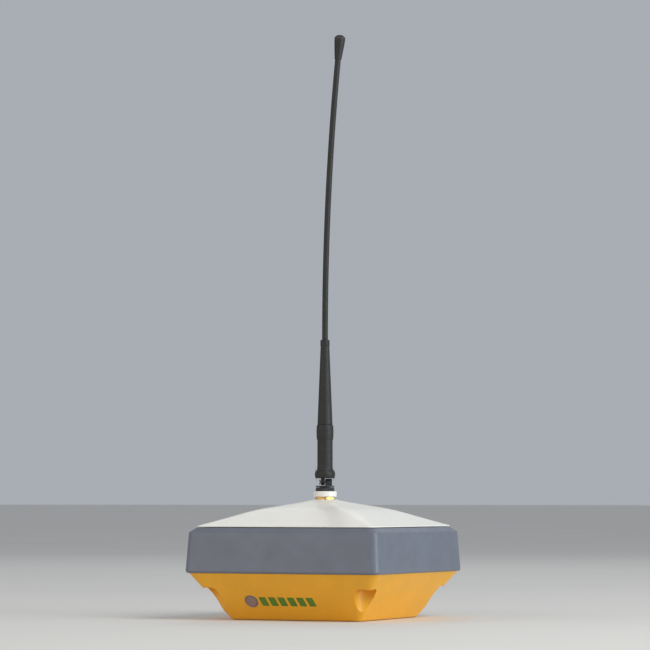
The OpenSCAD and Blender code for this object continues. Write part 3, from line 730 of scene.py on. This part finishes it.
def whip_barrel():
    """Base of the whip: a ring with soft edges, the barrel above it, and the upper half of the elbow."""
    high = span("whip_base")[1]
    profile = rounded([
        (0, ring_z), (ring_r - 0.4, ring_z, 0.9), (ring_r, ring_z + 1.9, 1.4),
        (ring_r, ring_z + ring_h - 1.9, 1.4), (barrel_r + 0.2, ring_z + ring_h, 0.9),
        (barrel_r, ring_z + ring_h + 3, 0.8), (barrel_r, high.z, 0.3), (0, high.z),
    ])
    barrel = boolean(lathe(profile, 72), ear(-2.9, -0.15, ring_z + 1), "UNION")
    clearance = prism(rectangle(20, 10, 0, (0, ear_r + 5)), ring_z - 1, ring_z + ring_h)
    barrel = boolean(barrel, joined(clearance, pin_hole()), "DIFFERENCE")
    add("whip_barrel", eased(barrel, 0.2), "antenna", "whip_rubber", ["whip_base"], antenna_frame)


def whip_grip():
    """Bulged ring at the top of the barrel, and the long tapered sleeve above it."""
    low, high = span("lock_ring")
    bulge = rounded([(5.53, low.z), (5.75, low.z, 0.15), (6.1, low.z + 2.2, 1.6), (6.1, high.z - 2.2, 1.6),
                     (5.7, high.z, 0.2), (5.53, high.z)])
    add("bulge_ring", lathe(bulge, 72), "antenna", "whip_rubber", ["lock_ring"], antenna_frame)
    low, high = span("whip_sleeve")
    sleeve = rounded([
        (2.15, low.z), (5.35, low.z, 0.4), (5.3, low.z + 3, 0.8), (3.15, high.z - 4.4, 0.8),
        (3.35, high.z - 4, 0.3), (3.3, high.z - 0.3, 0.4), (2.6, high.z, 0.3), (2.15, high.z),
    ])
    add("tapered_sleeve", lathe(sleeve, 72), "antenna", "whip_rubber", ["whip_sleeve"], antenna_frame)


def whip_rod():
    """Flexible rod that leans over along a parabola, with its moulded cap."""
    low = span("whip")[0]
    sleeve_top = span("whip_sleeve")[1].z
    segments, steps = 28, 60
    rings = [[Vector((0, 0, low.z))], circle(rod_r, low.z, segments)]
    for k in range(steps + 1):
        s = k / steps
        slope = math.atan(2 * rod_bend * s / rod_len)
        turn = (Matrix.Translation((rod_bend * s * s, 0, sleeve_top + rod_len * s))
                @ Matrix.Rotation(slope, 4, "Y"))
        rings.append([turn @ point for point in circle(rod_r, 0, segments)])
    tip = turn @ Matrix.Translation((0, 0, -2))
    cap = rounded([(rod_r, 0), (2.5, 0.4, 0.3), (tip_r, tip_len - 4, 2.5), (tip_r, tip_len - 2, 0.8),
                   (2.2, tip_len, 0.9), (0, tip_len)])
    for r, z in cap[1:]:
        rings.append([tip @ point for point in (circle(r, z, segments) if r > TINY else [Vector((0, 0, z))])])
    add("whip_rod", skin(rings), "antenna", "whip_rubber", ["whip"], antenna_frame)


neck_fittings()
knurled_nut()
elbow_knuckle()
whip_barrel()
whip_grip()
whip_rod()


# ---- CAD nodes that stay ----

slots = {
    "black_plastic": ["port_plate", "card_bay", "tilt_sensor", "buzzer", "battery_cradle", "memory_card",
                      "power_coils"],
    "black_rubber": ["body_gaskets", "button_seal", "door_seal", "power_port_cap", "data_port_cap",
                     "port_cores"],
    "housing_amber": ["card_door"],
    "steel": ["housing_screws", "insert_screws", "port_plate_screws", "inner_screws", "cap_hinge_pins",
              "card_door_pin", "elbow_pin", "tact_switch", "jack_nut", "port_nuts"],
    "aluminium": ["power_port", "data_port", "chassis_plate", "battery_clamp", "standoffs", "gnss_module",
                  "cellular_module", "radio_module", "amplifier_shield"],
    "brass": ["pole_insert", "jack_core", "antenna_patch"],
    "board_green": ["main_board", "led_board", "wireless_antenna"],
    "laminate_tan": ["ground_plane"],
    "ceramic_ivory": ["antenna_puck", "sim_card"],
    "cell_wrap": ["battery_cells"],
    "cable_brown": ["coax_pigtail"],
    "label_silver": ["rating_plate"],
    "lamp_cream": ["led_chips"],
}


def keep(node, slot):
    """A CAD node with its finish, and a fine rounding on its edges."""
    piece = frame["nodes"][node]
    piece.data.materials.clear()
    piece.data.materials.append(finishes[slot])
    weld = piece.modifiers.new("weld", "WELD")
    weld.merge_threshold = 0.002 * MM
    flat = piece.modifiers.new("flat", "DECIMATE")
    flat.decimate_type = "DISSOLVE"
    flat.angle_limit = math.radians(0.5)
    edge = piece.modifiers.new("edge", "BEVEL")
    edge.width = 0.15 * MM
    edge.segments = 2
    edge.limit_method = "ANGLE"
    edge.angle_limit = math.radians(40)
    normals = piece.modifiers.new("normals", "WEIGHTED_NORMAL")
    normals.keep_sharp = True


for slot, nodes in slots.items():
    for node in nodes:
        keep(node, slot)


# ---- Floor, light and camera ----

def floor():
    """Plain pale floor, a hair under the base so that the two faces don't meet."""
    reach_m, below_m = 40, 0.0002
    bm = bmesh.new()
    bmesh.ops.create_grid(bm, x_segments=8, y_segments=8, size=reach_m)
    mesh = bpy.data.meshes.new("floor")
    bm.to_mesh(mesh)
    bm.free()
    plain = bpy.data.objects.new("floor", mesh)
    bpy.context.scene.collection.objects.link(plain)
    plain.location.z = -below_m
    mesh.materials.append(finish("floor", colour(226, 223, 216), 0.75, patch=400, shade=0.02,
                                 gloss_shift=0.04, grain=6, relief=0.02, specular=0.2))


def area_light(name, place, aim, size, power, tint):
    """A soft rectangular lamp at place, turned to aim: metres, watts and a linear tint."""
    light = bpy.data.lights.new(name, "AREA")
    light.shape, light.size, light.size_y = "RECTANGLE", *size
    light.energy, light.color = power, tint
    lamp = bpy.data.objects.new(name, light)
    lamp.location = place
    lamp.rotation_euler = (Vector(aim) - Vector(place)).to_track_quat("-Z", "Y").to_euler()
    bpy.context.scene.collection.objects.link(lamp)


def camera():
    """Camera at the viewing angle: a long lens a little above the body, aimed at the middle of the object."""
    azimuth, elevation, distance_m, share = math.radians(25.4), math.radians(0.9), 2.3, 0.9
    low, high = cad_box
    middle = (low + high) / 2
    body_mid_m = band_top * MM * 0.75
    back = Vector((math.sin(azimuth), -math.cos(azimuth), 0))
    eye = Vector((0, 0, body_mid_m)) + back * distance_m + Vector((0, 0, distance_m * math.tan(elevation)))
    lens = bpy.data.cameras.new("camera")
    lens.sensor_width = 36
    lens.lens = lens.sensor_width * distance_m * share / (high.z - low.z)
    lens.clip_start, lens.clip_end = 0.05, 200
    view = bpy.data.objects.new("camera", lens)
    view.location = eye
    view.rotation_euler = (middle - eye).to_track_quat("-Z", "Y").to_euler()
    bpy.context.scene.collection.objects.link(view)
    bpy.context.scene.camera = view


def studio():
    """Pale sky, a high warm key from the right, a low cool light on the right face, a fill and a rim."""
    world = bpy.data.worlds.new("studio")
    world.use_nodes = True
    world.node_tree.nodes["Background"].inputs["Color"].default_value = (0.86, 0.91, 1.0, 1)
    world.node_tree.nodes["Background"].inputs["Strength"].default_value = 0.46
    bpy.context.scene.world = world
    area_light("key", (1.6, -0.6, 1.5), (0, 0, 0.06), (1.3, 1.3), 23, (1.0, 0.97, 0.93))
    area_light("fill", (-1.2, -1.9, 0.7), (0, 0, 0.05), (1.4, 1.0), 10, (1.0, 0.95, 0.88))
    area_light("side", (2.0, -0.1, 0.3), (0, 0, 0.05), (1.2, 0.6), 17, (0.70, 0.88, 1.0))
    area_light("rim", (-0.6, 1.8, 1.4), (0, 0, 0.1), (1.6, 0.8), 4, (0.92, 0.96, 1.0))
    bpy.context.scene.view_settings.view_transform = "Standard"


floor()
studio()
camera()
